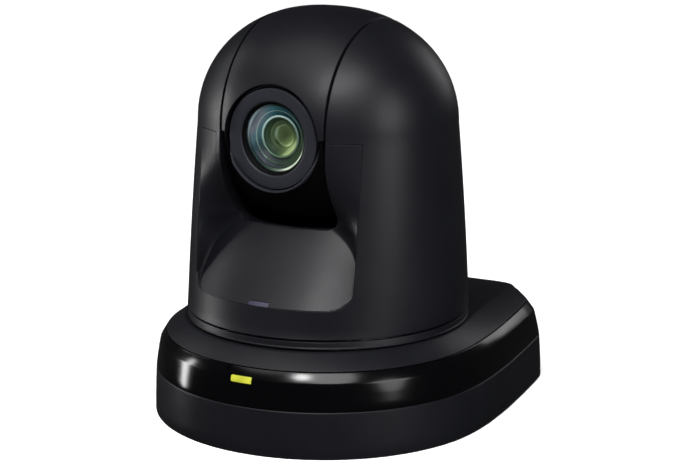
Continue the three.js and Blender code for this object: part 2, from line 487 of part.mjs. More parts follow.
// yoke: floor plate and two arms outside the slot walls
{
  const arm = (x0, x1) => {
    const pts = [[-24, 50.7], [24, 50.7], [24, 70], [15, Z_TILT]];
    for (let i = 0; i <= 6; i++) { const a = Math.PI * i / 6; pts.push([15 * Math.cos(a), Z_TILT + 15 * Math.sin(a)]); }
    pts.push([-15, Z_TILT], [-24, 70]);
    return prism(pts, x0, x1, 'x');
  };
  let y = plus(box(-33.0, 33.0, -24, 24, 50.7, 53.6), arm(-33.0, -29.8), arm(29.8, 33.0));
  y = minus(y, rod(11.1, -36, 36, 'x', [0, 0, Z_TILT], 18), rod(8.1, 29, 34, 'x', [0, 0, TILT_MOTOR_Z], 14), rod(9, 50, 54, 'z', [0, 0, 0], 14),
    rod(7, -34, 34, 'x', [0, 0, 100], 12));
  add('yoke', y, 'aluminium');
}
add('tilt_bearing_left', tube(8.4, 10.7, -33.0, -29.8, 'x', [0, 0, Z_TILT], 14), 'steel');
add('tilt_bearing_right', tube(8.4, 10.7, 29.8, 33.0, 'x', [0, 0, Z_TILT], 14), 'steel');
{
  let m = rod(8.6, 4, 29.4, 'x', [0, 0, TILT_MOTOR_Z], 28);
  m = plus(m, rod(7.6, 29.2, 31.5, 'x', [0, 0, TILT_MOTOR_Z], 20), rod(1.6, 31, 41, 'x', [0, 0, TILT_MOTOR_Z], 12));
  add('tilt_motor', m, 'steel');
}
add('tilt_belt', minus(prism(beltLoop(21.2, [0, Z_TILT], 6.7, [0, TILT_MOTOR_Z], 13), X_BELT + 0.8, X_BELT + 5.2, 'x'), prism(beltLoop(19.9, [0, Z_TILT], 5.4, [0, TILT_MOTOR_Z], 13), X_BELT, X_BELT + 6, 'x')), 'rubber');
add('tilt_motor_pulley', lathe([[1.9, X_BELT], [6.2, X_BELT], [5.0, X_BELT + 0.5], [5.0, X_BELT + 5.5], [6.2, X_BELT + 6], [1.9, X_BELT + 6]], 'x', 14, [0, 0, TILT_MOTOR_Z]), 'brass');
add('head_board', minus(prism(roundRect(-20, 20, 56, 112, 2), -41.6, -40.0, 'x'), rod(3, -44, -38, 'x', [0, 0, 104], 14)), 'board');

// -------------------------------------------------------------- tilt drum
const drum = (off, half) => {
  const pts = [[0, -half]];
  for (let i = 0; i <= 6; i++) { const x = -half + 2 * half * i / 6; pts.push([rho(x) - off, x]); }
  pts.push([0, half]);
  return lathe(pts, 'x', 44, [0, 0, Z_TILT]);
};
{
  const lensHole = rod(R_COLLAR + 0.35, -60, -30, 'y', [0, 0, Z_LENS], 32);
  const bore = rod(8.6, -30, 30, 'x', [0, 0, Z_TILT], 16);
  const inner = drum(2.2, DRUM_W - 2);
  const shell = minus(drum(0, DRUM_W), inner, lensHole, bore);
  add('tilt_upper_cover', largest(shell.intersect(box(-60, 60, -60, 60, Z_TILT + GAP / 2, 200))), 'shell');
  const lower = minus(drum(1.2, DRUM_W - 0.3), drum(3.4, DRUM_W - 2), lensHole, bore);
  add('tilt_lower_cover', largest(lower.intersect(box(-60, 60, -60, 60, 60, Z_TILT - GAP / 2))), 'dark');
}
add('trunnion_left', lathe([[5, -44], [8.1, -44], [8.1, -23.6], [15, -23.6], [15, -21], [5, -21]], 'x', 16, [0, 0, Z_TILT]), 'steel');
add('trunnion_right', lathe([[5, 44], [8.1, 44], [8.1, 23.6], [15, 23.6], [15, 21], [5, 21]], 'x', 16, [0, 0, Z_TILT]), 'steel');
add('tilt_pulley', lathe([[8.4, X_BELT], [20.6, X_BELT], [19.6, X_BELT + 0.5], [19.6, X_BELT + 5.5], [20.6, X_BELT + 6], [8.4, X_BELT + 6]], 'x', 24, [0, 0, Z_TILT]), 'aluminium');
// the collar stands proud below the tilt axis only, and sinks away towards it; above it the upper cover surrounds the lens
add('lens_collar', minus(lathe([[22.6, -41], [R_COLLAR, -41], [R_COLLAR, COLLAR_Y], [22.6, COLLAR_Y]], 'y', 32, [0, 0, Z_LENS]), prism([[-60, Z_LENS - 15], [-49.2, Z_LENS - 15], [-44.6, Z_LENS - 2], [-44.6, 180], [-60, 180]], -30, 30, 'x')), 'shell');
add('lens_bezel', lathe([[16.3, LENS_Y + 0.5], [16.9, LENS_Y], [R_BEZEL, LENS_Y], [R_BEZEL, -43], [16.3, -43]], 'y', 32, [0, 0, Z_LENS]), 'bezel');
add('lens_barrel', lathe([[14.2, -20], [17.5, -20], [17.5, -42.7], [15.9, -42.7], [15.9, LENS_Y + 1.3], [15.2, LENS_Y + 1.3], [15.2, -40.0], [14.2, -39.8]], 'y', 22, [0, 0, Z_LENS]), 'dark');
add('front_element', lathe([[0, -39.2], [13.6, -40.3], [14.8, -41.2], [14.8, LENS_Y + 3.6], [11.5, LENS_Y + 2.5], [8, LENS_Y + 1.7], [4, LENS_Y + 1.2], [0, LENS_Y + 1.0]], 'y', 22, [0, 0, Z_LENS]), 'glass');
add('focus_group', plus(tube(10.2, 13.6, -37.0, -33, 'y', [0, 0, Z_LENS], 20), lathe([[0, -36.2], [10.3, -36.0], [10.3, -34.4], [0, -33.6]], 'y', 20, [0, 0, Z_LENS])), 'dark');
add('zoom_group', plus(tube(9.2, 13.6, -30, -24.4, 'y', [0, 0, Z_LENS], 20), lathe([[0, -28.8], [9.3, -27.4], [9.3, -26], [0, -25.4]], 'y', 20, [0, 0, Z_LENS])), 'dark');
add('camera_block', plus(minus(box(-20, 20, -19.7, 26, Z_LENS - 19, Z_LENS + 19), box(-17.5, 17.5, -17, 23.5, Z_LENS - 16.5, Z_LENS + 16.5), rod(13.8, -22, -15, 'y', [0, 0, Z_LENS], 20)),
  lathe([[14.2, -19.0], [17.4, -19.0], [17.4, -17], [14.2, -17]], 'y', 20, [0, 0, Z_LENS])), 'aluminium');
add('sensor_board', prism(roundRect(-19, 19, Z_LENS - 18, Z_LENS + 18, 1.5), 26.4, 28, 'y'), 'board');

export default group;
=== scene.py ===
# Looks of a pan-tilt-zoom camera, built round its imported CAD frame.  Lengths in this file are
# written in millimetres and turned into metres where a mesh is made.
import json
import math

import bpy
import numpy as np
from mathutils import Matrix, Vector


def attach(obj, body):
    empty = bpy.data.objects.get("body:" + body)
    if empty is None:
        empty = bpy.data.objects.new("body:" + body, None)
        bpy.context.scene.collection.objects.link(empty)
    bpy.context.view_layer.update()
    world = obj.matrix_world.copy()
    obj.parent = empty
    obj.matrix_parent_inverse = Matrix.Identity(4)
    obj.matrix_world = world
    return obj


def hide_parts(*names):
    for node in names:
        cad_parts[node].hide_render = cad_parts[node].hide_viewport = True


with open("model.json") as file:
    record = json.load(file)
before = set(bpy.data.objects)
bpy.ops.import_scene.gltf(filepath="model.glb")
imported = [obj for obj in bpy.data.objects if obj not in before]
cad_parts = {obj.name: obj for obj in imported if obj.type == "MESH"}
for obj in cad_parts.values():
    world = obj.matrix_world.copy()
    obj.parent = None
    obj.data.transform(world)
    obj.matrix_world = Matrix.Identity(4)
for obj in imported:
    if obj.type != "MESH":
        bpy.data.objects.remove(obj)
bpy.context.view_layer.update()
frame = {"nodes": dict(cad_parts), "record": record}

TAU = 2 * math.pi
MM = 0.001

# ------------------------------------------------------------------ driving sizes, as in the CAD
BASE_Y, BACK_Y = -1.6, 97.4
Z_SKIRT, Z_BAND, Z_EDGE, Z_DECK, Z_REAR = 21.3, 33.4, 38.1, 44.4, 41.5
R_RING, Z_RING, Z_RIM, R_RIM = 65.0, 48.0, 48.9, 65.3
Z_TILT, Z_LENS, R_DOME, A_DOME, N_DOME, M_DOME = 134.6, 133.2, 51.8, 60.5, 2.26, 2.1
WALL, SLOT_W, DRUM_W, SLOT_Z = 2.4, 27.2, 26.0, 92.5
PANEL_X, PANEL_Z, APRON = 41.3, 61.5, 0.60
LENS_Y, R_BEZEL, R_COLLAR, COLLAR_Y = -47.3, 22.2, 23.7, -48.7
SPLIT_Y = 38.0

# ------------------------------------------------------------------ camera, floor and light
scene = bpy.context.scene
cam_data = bpy.data.cameras.new("camera")
cam = bpy.data.objects.new("camera", cam_data)
scene.collection.objects.link(cam)
scene.camera = cam
cam_data.sensor_width = 36.0
cam_data.lens = 101.11
cam_data.clip_end = 20
cam_at = Vector((452.63, -756.09, 293.35)) * MM
look_at = Vector((9.2, 3.81, 81.68)) * MM
cam.location = cam_at
cam.rotation_euler = (look_at - cam_at).to_track_quat("-Z", "Y").to_euler()

scene.view_settings.view_transform = "Standard"
world = bpy.data.worlds.new("studio")
scene.world = world
world.use_nodes = True
world.node_tree.nodes["Background"].inputs["Color"].default_value = (0.97, 0.98, 1.0, 1)
world.node_tree.nodes["Background"].inputs["Strength"].default_value = 0.10
path = world.node_tree.nodes.new("ShaderNodeLightPath")
dim = world.node_tree.nodes.new("ShaderNodeMapRange")  # the room shows less in the gloss of the black plastic
dim.inputs["To Min"].default_value = 0.10
dim.inputs["To Max"].default_value = 0.035
world.node_tree.links.new(path.outputs["Is Glossy Ray"], dim.inputs["Value"])
world.node_tree.links.new(dim.outputs["Result"], world.node_tree.nodes["Background"].inputs["Strength"])


def lamp_at(name, kind, at, target=(0, 0, 90)):
    data = bpy.data.lights.new(name, kind)
    ob = bpy.data.objects.new(name, data)
    scene.collection.objects.link(ob)
    ob.location = Vector(at) * MM
    ob.rotation_euler = ((Vector(target) - Vector(at)) * MM).to_track_quat("-Z", "Y").to_euler()
    return data


def sun(name, azimuth, elevation, strength, angle):
    a, e = math.radians(azimuth), math.radians(elevation)
    data = lamp_at(name, "SUN", (3000 * math.sin(a) * math.cos(e), -3000 * math.cos(a) * math.cos(e), 3000 * math.sin(e)), (0, 0, 0))
    data.energy = strength
    data.angle = math.radians(angle)


def softbox(name, at, size, size_y, power, target=(0, 0, 90)):
    data = lamp_at(name, "AREA", at, target)
    data.shape = "ELLIPSE"
    data.size, data.size_y = size * MM, size_y * MM
    data.energy = power


sun("front_key", 34, 50, 2.7, 28)
sun("overhead_fill", -36, 64, 1.45, 40)
softbox("right_box", (860, -260, 330), 420, 620, 7.0)
softbox("chamfer_box", (150, -760, 860), 170, 190, 8.4)
softbox("left_box", (-900, -260, 120), 130, 620, 6.0)
softbox("back_left_box", (-820, -20, 560), 260, 420, 0.8)
softbox("back_right_box", (250, 850, 420), 300, 520, 1.1)

# ------------------------------------------------------------------ mesh helpers


def mesh_object(name, verts, faces, sharp=32.0):
    me = bpy.data.meshes.new(name)
    me.from_pydata([(float(x) * MM, float(y) * MM, float(z) * MM) for x, y, z in verts], [], faces)
    me.validate()
    me.update()
    ob = bpy.data.objects.new(name, me)
    scene.collection.objects.link(ob)
    outward(ob)
    shade(ob, sharp)
    return ob


def outward(ob):
    import bmesh
    bm = bmesh.new()
    bm.from_mesh(ob.data)
    bmesh.ops.recalc_face_normals(bm, faces=bm.faces)
    if bm.calc_volume(signed=True) < 0:
        bmesh.ops.reverse_faces(bm, faces=bm.faces)
    bm.to_mesh(ob.data)
    bm.free()


def shade(ob, sharp=32.0):
    me = ob.data
    me.polygons.foreach_set("use_smooth", [True] * len(me.polygons))
    me.set_sharp_from_angle(angle=math.radians(sharp))
    me.update()


def loft(name, rings, loop=False, sharp=32.0):
    """A stack of closed rings of equal length; loop joins the last to the first, otherwise the ends are capped."""
    n = len(rings[0])
    verts = [p for r in rings for p in r]
    faces = []
    pairs = [(i, i + 1) for i in range(len(rings) - 1)] + ([(len(rings) - 1, 0)] if loop else [])
    for a, b in pairs:
        for i in range(n):
            j = (i + 1) % n
            faces.append((a * n + i, a * n + j, b * n + j, b * n + i))
    if not loop:
        for r, flip in ((0, True), (len(rings) - 1, False)):
            c = len(verts)
            verts.append(tuple(np.mean(np.array(rings[r]), axis=0)))
            for i in range(n):
                j = (i + 1) % n
                faces.append((c, r * n + j, r * n + i) if flip else (c, r * n + i, r * n + j))
    return mesh_object(name, verts, faces, sharp)


def lathe(name, profile, axis="z", segments=128, at=(0, 0, 0), sharp=32.0):
    """Revolve a closed profile of (radius, height) pairs; points on the axis are single vertices."""
    verts, rows = [], []
    for r, h in profile:
        if r < 1e-6:
            rows.append([len(verts)])
            verts.append((0.0, 0.0, h))
        else:
            rows.append(list(range(len(verts), len(verts) + segments)))
            for i in range(segments):
                a = TAU * i / segments
                verts.append((r * math.cos(a), r * math.sin(a), h))
    faces = []
    m = len(profile)
    for k in range(m):
        a, b = rows[k], rows[(k + 1) % m]
        if len(a) == 1 and len(b) == 1:
            continue
        for i in range(segments):
            j = (i + 1) % segments
            if len(a) == 1:
                faces.append((a[0], b[j], b[i]))
            elif len(b) == 1:
                faces.append((a[i], a[j], b[0]))
            else:
                faces.append((a[i], a[j], b[j], b[i]))
    out = []
    for x, y, z in verts:
        if axis == "y":
            x, y, z = x, z, y
        elif axis == "x":
            x, y, z = z, x, y
        out.append((x + at[0], y + at[1], z + at[2]))
    return mesh_object(name, out, faces, sharp)


def rounded(profile, radius=0.4, steps=3):
    """A closed (r, h) profile with each corner off the axis rounded."""
    out = []
    n = len(profile)
    for i, p in enumerate(profile):
        if p[0] < 1e-6:
            out.append(p)
            continue
        a, c = np.array(profile[i - 1], float), np.array(profile[(i + 1) % n], float)
        b = np.array(p, float)
        u, v = a - b, c - b
        lu, lv = np.linalg.norm(u), np.linalg.norm(v)
        t = min(radius, lu * 0.45, lv * 0.45)
        p0, p1 = b + u / lu * t, b + v / lv * t
        for s in range(steps + 1):
            w = s / steps
            out.append(tuple((1 - w) ** 2 * p0 + 2 * w * (1 - w) * b + w * w * p1))
    return out


def prism(name, outline, lo, hi, axis="z", sharp=32.0):
    n = len(outline)
    verts = []
    for h in (lo, hi):
        for u, v in outline:
            verts.append((u, v, h) if axis == "z" else ((u, h, v) if axis == "y" else (h, u, v)))
    faces = [tuple(range(n)), tuple(range(2 * n - 1, n - 1, -1))]
    for i in range(n):
        j = (i + 1) % n
        faces.append((i, i + n, j + n, j))
    return mesh_object(name, verts, faces, sharp)


def cuboid(name, x0, x1, y0, y1, z0, z1):
    return prism(name, [(x0, y0), (x1, y0), (x1, y1), (x0, y1)], z0, z1)


def round_rect(u0, u1, v0, v1, r, n=8):
    out = []
    for cx, cy, a0 in ((u1 - r, v0 + r, -math.pi / 2), (u1 - r, v1 - r, 0), (u0 + r, v1 - r, math.pi / 2), (u0 + r, v0 + r, math.pi)):
        for i in range(n + 1):
            a = a0 + math.pi / 2 * i / n
            out.append((cx + r * math.cos(a), cy + r * math.sin(a)))
    return out


def circle(r, cx, cy, n=32):
    return [(cx + r * math.cos(TAU * i / n), cy + r * math.sin(TAU * i / n)) for i in range(n)]


def boolean(ob, op, *cutters, keep=False):
    """Join or cut closed meshes, and leave one plain mesh."""
    for c in cutters:
        mod = ob.modifiers.new("b", "BOOLEAN")
        mod.operation = op
        mod.solver = "MANIFOLD"
        mod.object = c
    deps = bpy.context.evaluated_depsgraph_get()
    deps.update()
    me = bpy.data.meshes.new_from_object(ob.evaluated_get(deps))
    old = ob.data
    ob.modifiers.clear()
    ob.data = me
    me.name = old.name
    bpy.data.meshes.remove(old)
    if not keep:
        for c in cutters:
            drop(c)
    return ob


def copy(ob, name):
    new = bpy.data.objects.new(name, ob.data.copy())
    scene.collection.objects.link(new)
    return new


def drop(ob):
    me = ob.data
    bpy.data.objects.remove(ob)
    if me.users == 0:
        bpy.data.meshes.remove(me)


def islands(ob, keep_largest=True):
    """Keep only the largest connected piece of a mesh."""
    import bmesh
    bm = bmesh.new()
    bm.from_mesh(ob.data)
    bm.faces.ensure_lookup_table()
    seen, groups = set(), []
    for f in bm.faces:
        if f.index in seen:
            continue
        stack, group = [f], []
        seen.add(f.index)
        while stack:
            g = stack.pop()
            group.append(g)
            for e in g.edges:
                for h in e.link_faces:
                    if h.index not in seen:
                        seen.add(h.index)
                        stack.append(h)
        groups.append(group)
    groups.sort(key=lambda g: -sum(f.calc_area() for f in g))
    gone = [f for g in groups[1:] for f in g]
    bmesh.ops.delete(bm, geom=gone, context="FACES")
    bm.to_mesh(ob.data)
    bm.free()
    return ob


# ------------------------------------------------------------------ the head's surface


def clamp(v, lo, hi):
    return min(hi, max(lo, v))


def rho(x, off=0.0):
    return (R_DOME - off) * max(0.0, 1 - (abs(x) / (A_DOME - off)) ** N_DOME) ** (1 / M_DOME)


def section(z, off=0.0):
    t = clamp((z - Z_RIM) / (Z_TILT - Z_RIM), 0, 1)
    return (R_RIM - off + (A_DOME - R_RIM) * t ** 1.5, R_RIM - off + (R_DOME - R_RIM) * t ** 0.85,
            2 + (N_DOME - 2) * t, 2 + (M_DOME - 2) * t)


def section_point(z, angle, off):
    a, b, n, m = section(z, off)
    c, s = math.cos(angle), math.sin(angle)
    x = a * math.copysign(abs(c) ** (2 / n), c)
    y = b * math.copysign(max(0.0, 1 - abs(x / a) ** n) ** (1 / m), s)
    return x, y


def head_front(x, z, off=0.0):
    if z <= Z_TILT:
        a, b, n, m = section(z, off)
        return b * max(0.0, 1 - abs(x / a) ** n) ** (1 / m)
    r = rho(x, off)
    return math.sqrt(max(0.0, r * r - (z - Z_TILT) ** 2))


def head_body(name, off, z_low, segments=168, low=22, high=26, rim=0.0):
    angles = [TAU * (i + 0.5) / segments for i in range(segments)]
    rings = []
    if rim:
        # a small round on the bottom edge
        for k in range(4):
            a = math.pi / 2 * k / 4
            inset_by, up = rim * (1 - math.sin(a)), rim * (1 - math.cos(a))
            rings.append([(*section_point(z_low, t, off + inset_by), z_low + up) for t in angles])
        z_low += rim
    for i in range(low + 1):
        z = z_low + (Z_TILT - z_low) * i / low
        rings.append([(*section_point(z, t, off), z) for t in angles])
    for i in range(1, high):
        e = math.pi / 2 * i / high
        ring = []
        for t in angles:
            x0, y0 = section_point(Z_TILT, t, off)
            d = (x0 * math.cos(e), y0 * math.cos(e), (R_DOME - off) * math.sin(e))
            lo, hi = 0.3, 2.0
            for _ in range(34):
                s = (lo + hi) / 2
                f = (s * abs(d[0]) / (A_DOME - off)) ** N_DOME + (s * math.hypot(d[1], d[2]) / (R_DOME - off)) ** M_DOME - 1
                if f > 0:
                    hi = s
                else:
                    lo = s
            ring.append((d[0] * lo, d[1] * lo, Z_TILT + d[2] * lo))
        rings.append(ring)
    rings.append([(0.05 * math.cos(t), 0.05 * math.sin(t), Z_TILT + R_DOME - off) for t in angles])
    return loft(name, rings)


def recess_depth(x, z):
    apron = APRON * (z - PANEL_Z)
    below = max(0.0, Z_TILT - z) / 39
    slope = 1.3 * below ** 2.2 if z > 95.5 else 1.3 * math.exp((95.5 - z) / 12)
    cheek = min(40.0, slope * (PANEL_X - abs(x)))
    k = 12
    h = clamp(0.5 + 0.5 * (cheek - apron) / k, 0, 1)
    depth = cheek * (1 - h) + apron * h - k * h * (1 - h)
    qx, qz = abs(x) - (PANEL_X - 9), PANEL_Z + 9 - z
    return min(depth, 6 * (9 - math.hypot(qx, qz))) if qx > 0 and qz > 0 else depth


def recess_cutter(name, off, fine=True):
    if fine:
        xs = np.unique(np.concatenate([np.linspace(-46, -20, 66), np.linspace(-20, 20, 29), np.linspace(20, 46, 66), [-PANEL_X, PANEL_X]]))
        zs = np.unique(np.concatenate([np.linspace(58, 134.4, 116), [PANEL_Z, 136, 140]]))
    else:
        xs, zs = np.linspace(-46, 46, 47), np.concatenate([np.linspace(58, 134.4, 40), [136, 140]])
    nx, nz = len(xs), len(zs)
    verts, faces = [], []
    for layer in (0, 1):
        for z in zs:
            for x in xs:
                d = -2.0 if z > 134.5 else max(-1.5, recess_depth(x, z))
                verts.append((x, (-head_front(x, z) + d + off * 1.25) if layer else -95.0, z))
    at = lambda l, j, i: l * nx * nz + j * nx + i
    for j in range(nz - 1):
        for i in range(nx - 1):
            faces.append((at(0, j, i), at(0, j, i + 1), at(0, j + 1, i + 1), at(0, j + 1, i)))
            faces.append((at(1, j, i), at(1, j + 1, i), at(1, j + 1, i + 1), at(1, j, i + 1)))
    for i in range(nx - 1):
        faces.append((at(0, 0, i), at(1, 0, i), at(1, 0, i + 1), at(0, 0, i + 1)))
        faces.append((at(0, nz - 1, i + 1), at(1, nz - 1, i + 1), at(1, nz - 1, i), at(0, nz - 1, i)))
    for j in range(nz - 1):
        faces.append((at(0, j + 1, 0), at(1, j + 1, 0), at(1, j, 0), at(0, j, 0)))
        faces.append((at(0, j, nx - 1), at(1, j, nx - 1), at(1, j + 1, nx - 1), at(0, j + 1, nx - 1)))
    return mesh_object(name, verts, faces)


def drum_room(name, extra, half, steps=24, segments=144):
    reach = math.hypot(COLLAR_Y, R_COLLAR + Z_TILT - Z_LENS)
    pts = [(0.0, -half)]
    for i in range(steps + 1):
        x = -half + 2 * half * i / steps
        sweep = math.sqrt(max(0.0, reach * reach - x * x))
        pts.append((max(rho(min(abs(x), SLOT_W)) + 1.1, sweep + 1.0) + extra, x))
    pts.append((0.0, half))
    return lathe(name, pts, "x", segments, (0, 0, Z_TILT))


# ------------------------------------------------------------------ the base's outlines
HALF_LOW = [(0, -80), (20.7, -77.3), (40, -69.3), (56.6, -56.6), (69.3, -40), (77.3, -20.7), (79.7, -5), (80, 9.6),
            (79.2, 21.9), (78, 35.3), (75.9, 51.1), (73.4, 68.1), (71.2, 81), (69.3, 88.5), (65.5, 94), (59, 97.7), (50, 99), (25, 99), (0, 99)]
HALF_TOP = [(0, -74.4), (19.3, -71.9), (37.2, -64.4), (52.6, -52.6), (64.4, -37.2), (71.9, -19.3), (74.1, -4.5), (74.3, 9.6),
            (73.4, 21.5), (72, 34.5), (69.7, 50), (67, 66), (64.9, 77), (62.4, 85.5), (57.5, 90.6), (52, 95.2), (46.3, 99), (24, 99), (0, 99)]
HALF_RAISED = [(0, -65.6), (17, -63.4), (32.8, -56.8), (46.4, -46.4), (56.8, -32.8), (63.4, -17), (65.4, -4), (64.9, 9.6),
               (62.5, 21.5), (59.5, 34.5), (56.5, 50), (53.8, 66), (52, 77), (50.2, 85.5), (48.5, 90.6), (47.2, 95.2), (45.4, 98.2), (24, 98.2), (0, 98.2)]


def spread(half, fine=6):
    """A smooth closed curve through a half outline and its mirror image, with the same count for each outline."""
    full = list(half) + [(-x, y) for x, y in reversed(half[1:-1])]
    n = len(full)
    out = []
    for i in range(n):
        p0, p1, p2, p3 = (np.array(full[(i + k) % n], float) for k in (-1, 0, 1, 2))
        d01, d12, d23 = (max(1e-6, np.linalg.norm(b - a)) ** 0.5 for a, b in ((p0, p1), (p1, p2), (p2, p3)))
        # centripetal tangents keep the curve from overshooting where the spacing changes
        m1 = (p2 - p1) + d12 * ((p1 - p0) / d01 - (p2 - p0) / (d01 + d12))
        m2 = (p2 - p1) + d12 * ((p3 - p2) / d23 - (p3 - p1) / (d12 + d23))
        for s in range(fine):
            t = s / fine
            q = (2 * t ** 3 - 3 * t ** 2 + 1) * p1 + (t ** 3 - 2 * t ** 2 + t) * m1 + (-2 * t ** 3 + 3 * t ** 2) * p2 + (t ** 3 - t ** 2) * m2
            out.append((clamp(q[0], -80, 80), clamp(q[1], -80, 99) + BASE_Y))
    return out


LOW, TOP, RAISED = spread(HALF_LOW), spread(HALF_TOP), spread(HALF_RAISED)


def mix(a, b, k, z):
    out = []
    for p, q in zip(a, b):
        x, y = p[0] + (q[0] - p[0]) * k, p[1] + (q[1] - p[1]) * k
        out.append((x, y, z(x, y) if callable(z) else z))
    return out


def inset(ring, d, z):
    n = len(ring)
    out = []
    for i in range(n):
        ax, ay = ring[i - 1][:2]
        bx, by = ring[(i + 1) % n][:2]
        nx, ny = -(by - ay), bx - ax
        l = math.hypot(nx, ny) or 1.0
        x, y = ring[i][0] + nx / l * d, ring[i][1] + ny / l * d
        out.append((x, y, z(x, y) if callable(z) else z))
    return out


def z_edge(x, y):
    return Z_EDGE + (Z_REAR - 0.3 - Z_EDGE) * clamp((y - 82) / (BACK_Y - 82), 0, 1)


def z_raised(x, y):
    return Z_DECK - (Z_DECK - Z_REAR) * clamp((y - 20) / (BACK_Y - 20), 0, 1)


def soften(rings, radius=0.5, steps=3):
    """Round each edge of a closed stack of rings, point by point."""
    stack = [np.array(r, float) for r in rings]
    n = len(stack)
    out = []
    for i in range(n):
        a, b, c = stack[i - 1], stack[i], stack[(i + 1) % n]
        u, v = a - b, c - b
        lu, lv = np.linalg.norm(u, axis=1)[:, None], np.linalg.norm(v, axis=1)[:, None]
        t = np.minimum(radius, np.minimum(lu, lv) * 0.45)
        p0, p1 = b + u / np.maximum(lu, 1e-6) * t, b + v / np.maximum(lv, 1e-6) * t
        for s in range(steps + 1):
            w = s / steps
            out.append(((1 - w) ** 2 * p0 + 2 * w * (1 - w) * b + w * w * p1).tolist())
    return out


# ------------------------------------------------------------------ materials


class Mat:
    def __init__(self, name):
        self.m = bpy.data.materials.new(name)
        self.m.use_nodes = True
        self.t = self.m.node_tree
        self.b = self.t.nodes["Principled BSDF"]
        self.coord = self.t.nodes.new("ShaderNodeTexCoord")

    def node(self, kind, **values):
        n = self.t.nodes.new(kind)
        for k, v in values.items():
            if k in n.inputs:
                n.inputs[k].default_value = v
            else:
                setattr(n, k, v)
        return n

    def link(self, a, b):
        self.t.links.new(a, b)

    def noise(self, scale, detail=2.0, rough=0.5, distortion=0.0):
        n = self.node("ShaderNodeTexNoise")
        n.inputs["Scale"].default_value = scale
        n.inputs["Detail"].default_value = detail
        n.inputs["Roughness"].default_value = rough
        n.inputs["Distortion"].default_value = distortion
        self.link(self.coord.outputs["Object"], n.inputs["Vector"])
        return n

    def ramp(self, source, stops, interp="LINEAR"):
        r = self.node("ShaderNodeValToRGB")
        r.color_ramp.interpolation = interp
        el = r.color_ramp.elements
        while len(el) > 1:
            el.remove(el[-1])
        el[0].position, el[0].color = stops[0][0], stops[0][1]
        for pos, col in stops[1:]:
            e = el.new(pos)
            e.color = col
        self.link(source, r.inputs["Fac"])
        return r

    def bump(self, source, strength, distance, normal=None):
        b = self.node("ShaderNodeBump")
        b.inputs["Strength"].default_value = strength
        b.inputs["Distance"].default_value = distance
        self.link(source, b.inputs["Height"])
        if normal is not None:
            self.link(normal, b.inputs["Normal"])
        return b

    def to(self, socket, source):
        self.link(source, self.b.inputs[socket])


def grey(v, a=1.0):
    return (v, v, v, a)


def plastic(name, colour, rough=0.5, texture=0.35, grain=2600.0, spec=0.5, edge=True):
    """Moulded plastic with a fine spark-eroded grain, faint sink and handling variation."""
    m = Mat(name)
    large = m.noise(28.0, 3.0, 0.55)
    fine = m.noise(grain, 2.0, 0.65)
    lo = tuple(c * 0.90 for c in colour) + (1,)
    hi = tuple(min(1, c * 1.12) for c in colour) + (1,)
    col = m.ramp(large.outputs["Fac"], [(0.3, lo), (0.72, hi)])
    speck = m.node("ShaderNodeMix", data_type="RGBA", blend_type="MULTIPLY")
    speck.inputs["Factor"].default_value = 0.35
    m.link(col.outputs["Color"], speck.inputs[6])
    sp = m.ramp(fine.outputs["Fac"], [(0.35, grey(0.72)), (0.62, grey(1.0))])
    m.link(sp.outputs["Color"], speck.inputs[7])
    m.to("Base Color", speck.outputs[2])
    r = m.ramp(large.outputs["Fac"], [(0.25, grey(rough - 0.04)), (0.8, grey(rough + 0.05))])
    m.to("Roughness", r.outputs["Color"])
    bev = m.node("ShaderNodeBevel")
    bev.samples = 4
    bev.inputs["Radius"].default_value = 0.0004
    b = m.bump(fine.outputs["Fac"], texture, 0.00012, bev.outputs["Normal"] if edge else None)
    m.to("Normal", b.outputs["Normal"])
    m.b.inputs["Specular IOR Level"].default_value = spec
    return m.m


def gloss(name, colour):
    m = Mat(name)
    wide = m.noise(16.0, 2.0, 0.5)
    dust = m.noise(900.0, 3.0, 0.7)
    col = m.ramp(dust.outputs["Fac"], [(0.62, tuple(colour) + (1,)), (0.82, tuple(c * 2.2 + 0.0015 for c in colour) + (1,))])
    m.to("Base Color", col.outputs["Color"])
    r = m.ramp(wide.outputs["Fac"], [(0.2, grey(0.13)), (0.8, grey(0.19))])
    m.to("Roughness", r.outputs["Color"])
    b = m.bump(wide.outputs["Fac"], 0.05, 0.0008)
    m.to("Normal", b.outputs["Normal"])
    m.b.inputs["Specular IOR Level"].default_value = 0.14
    return m.m


def metal(name, colour, rough=0.35, brushed=(1, 1, 1), grain=400.0):
    m = Mat(name)
    mp = m.node("ShaderNodeMapping")
    mp.inputs["Scale"].default_value = brushed
    m.link(m.coord.outputs["Object"], mp.inputs["Vector"])
    n = m.noise(grain, 4.0, 0.6)
    m.link(mp.outputs["Vector"], n.inputs["Vector"])
    col = m.ramp(n.outputs["Fac"], [(0.3, tuple(c * 0.82 for c in colour) + (1,)), (0.7, tuple(colour) + (1,))])
    m.to("Base Color", col.outputs["Color"])
    r = m.ramp(n.outputs["Fac"], [(0.3, grey(rough + 0.1)), (0.7, grey(rough - 0.06))])
    m.to("Roughness", r.outputs["Color"])
    b = m.bump(n.outputs["Fac"], 0.15, 0.0002)
    m.to("Normal", b.outputs["Normal"])
    m.b.inputs["Metallic"].default_value = 1.0
    return m.m


